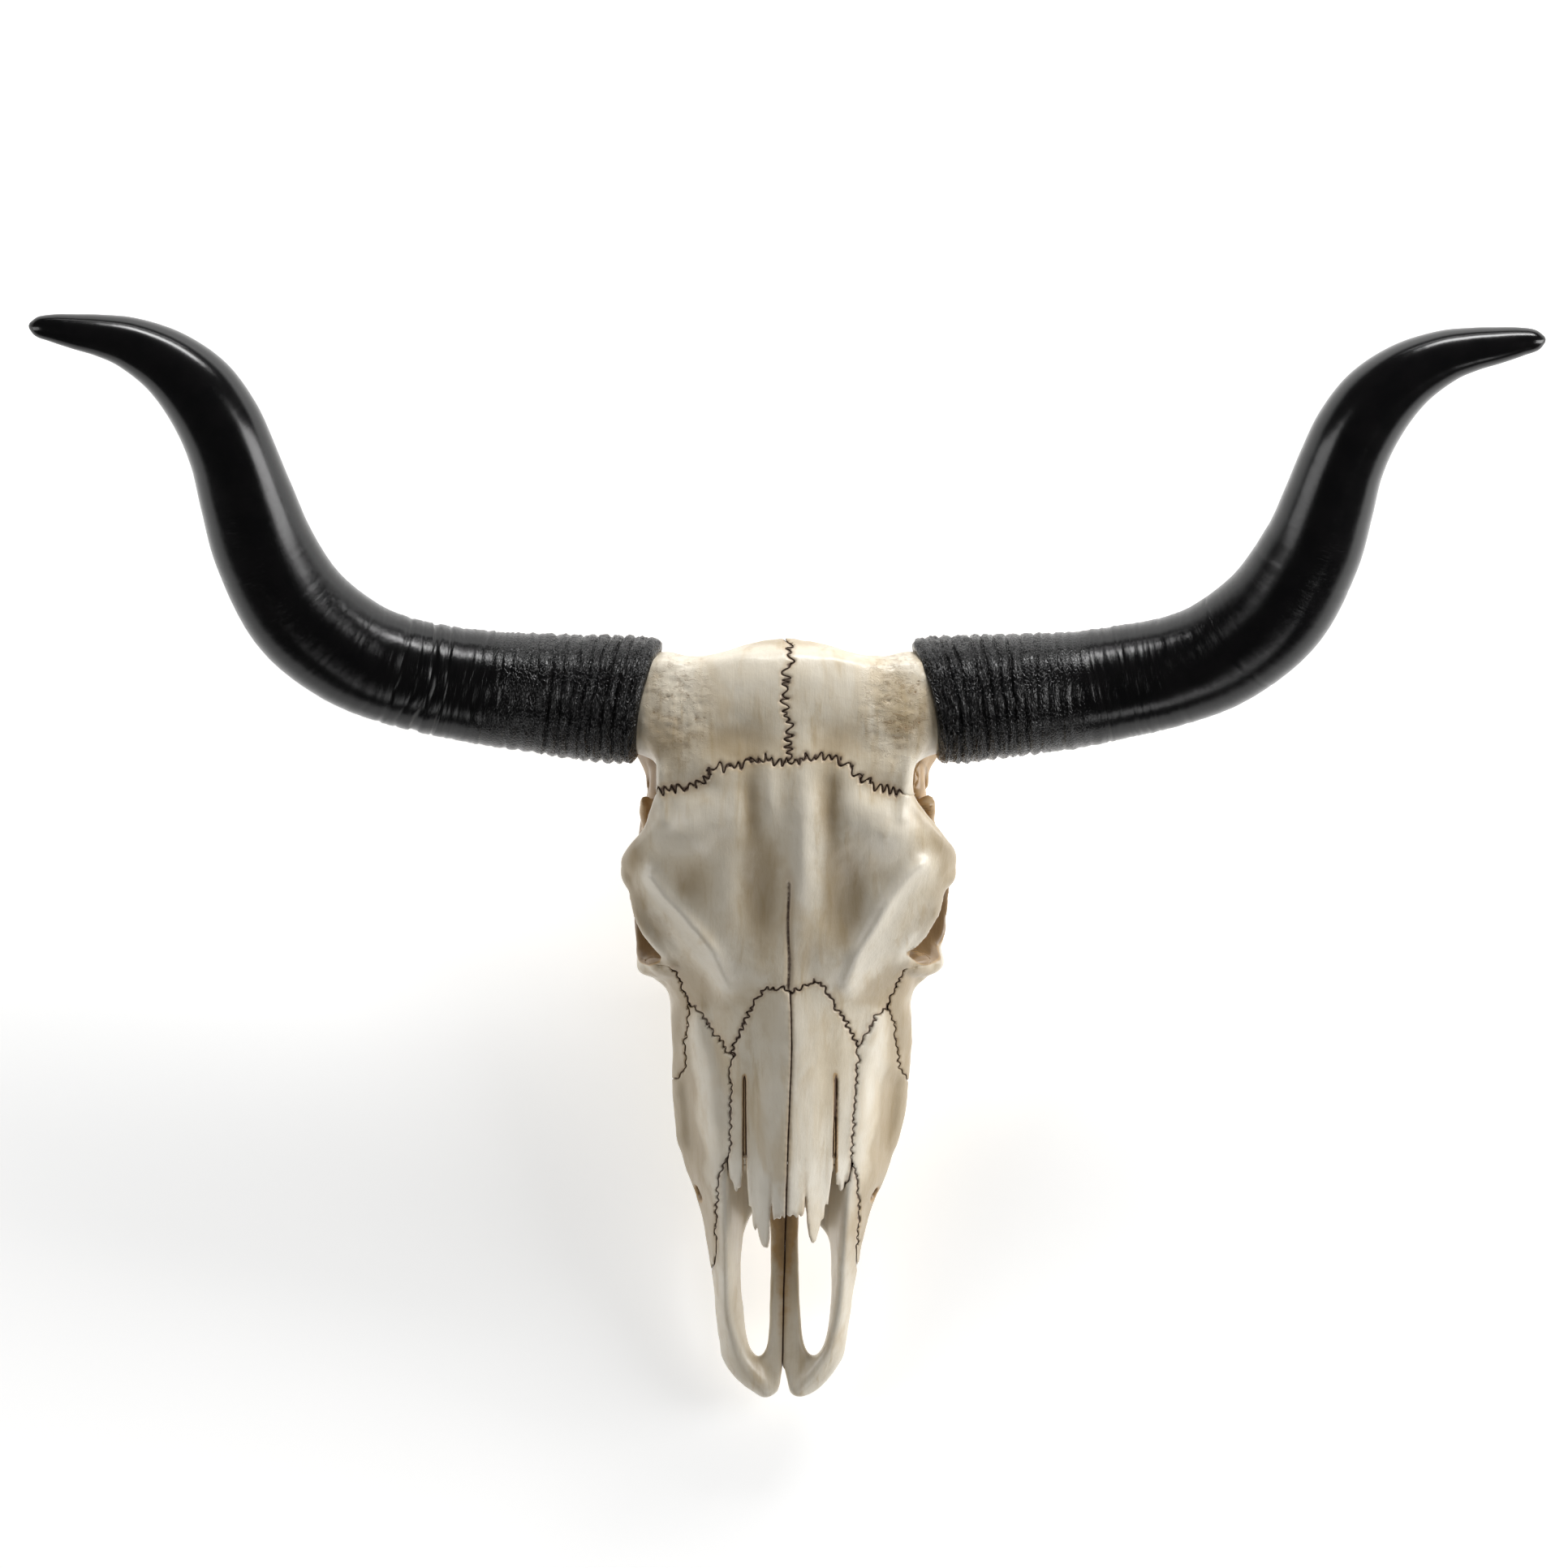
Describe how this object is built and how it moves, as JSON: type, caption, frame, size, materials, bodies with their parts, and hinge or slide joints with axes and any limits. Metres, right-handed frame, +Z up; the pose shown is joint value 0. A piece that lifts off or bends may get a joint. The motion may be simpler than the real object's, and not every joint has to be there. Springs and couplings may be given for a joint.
{
  "type": "longhorn steer skull",
  "caption": "Cattle skull with two long upswept horns, resting on its cheek teeth, parted along its sutures, with open eye sockets, nose passage and palate fissures.",
  "frame": {"origin": "centre of the bounding box, on the ground that the teeth stand on", "axes": "+X to the animal's left, +Y from the nose to the poll, +Z up from the teeth to the forehead"},
  "size_m": [0.9904, 0.7103, 0.2731],
  "materials": {
    "bone": "dry ivory bone with a faint sheen, tan in its hollows and dark brown in its sutures",
    "horn": "black horn, ridged and dusty at the base and polished towards the tip"
  },
  "bodies": {
    "root": {"frontal": "bone", "poll_left": "bone", "poll_right": "bone", "nasal_left": "bone", "nasal_right": "bone", "incisive_left": "bone", "incisive_right": "bone", "maxilla_left": "bone", "maxilla_right": "bone", "zygomatic_left": "bone", "zygomatic_right": "bone", "temporal_left": "bone", "temporal_right": "bone", "palatine": "bone", "sphenoid": "bone", "occipital": "bone", "horn_left": "horn", "horn_right": "horn"}
  },
  "joints": []
}
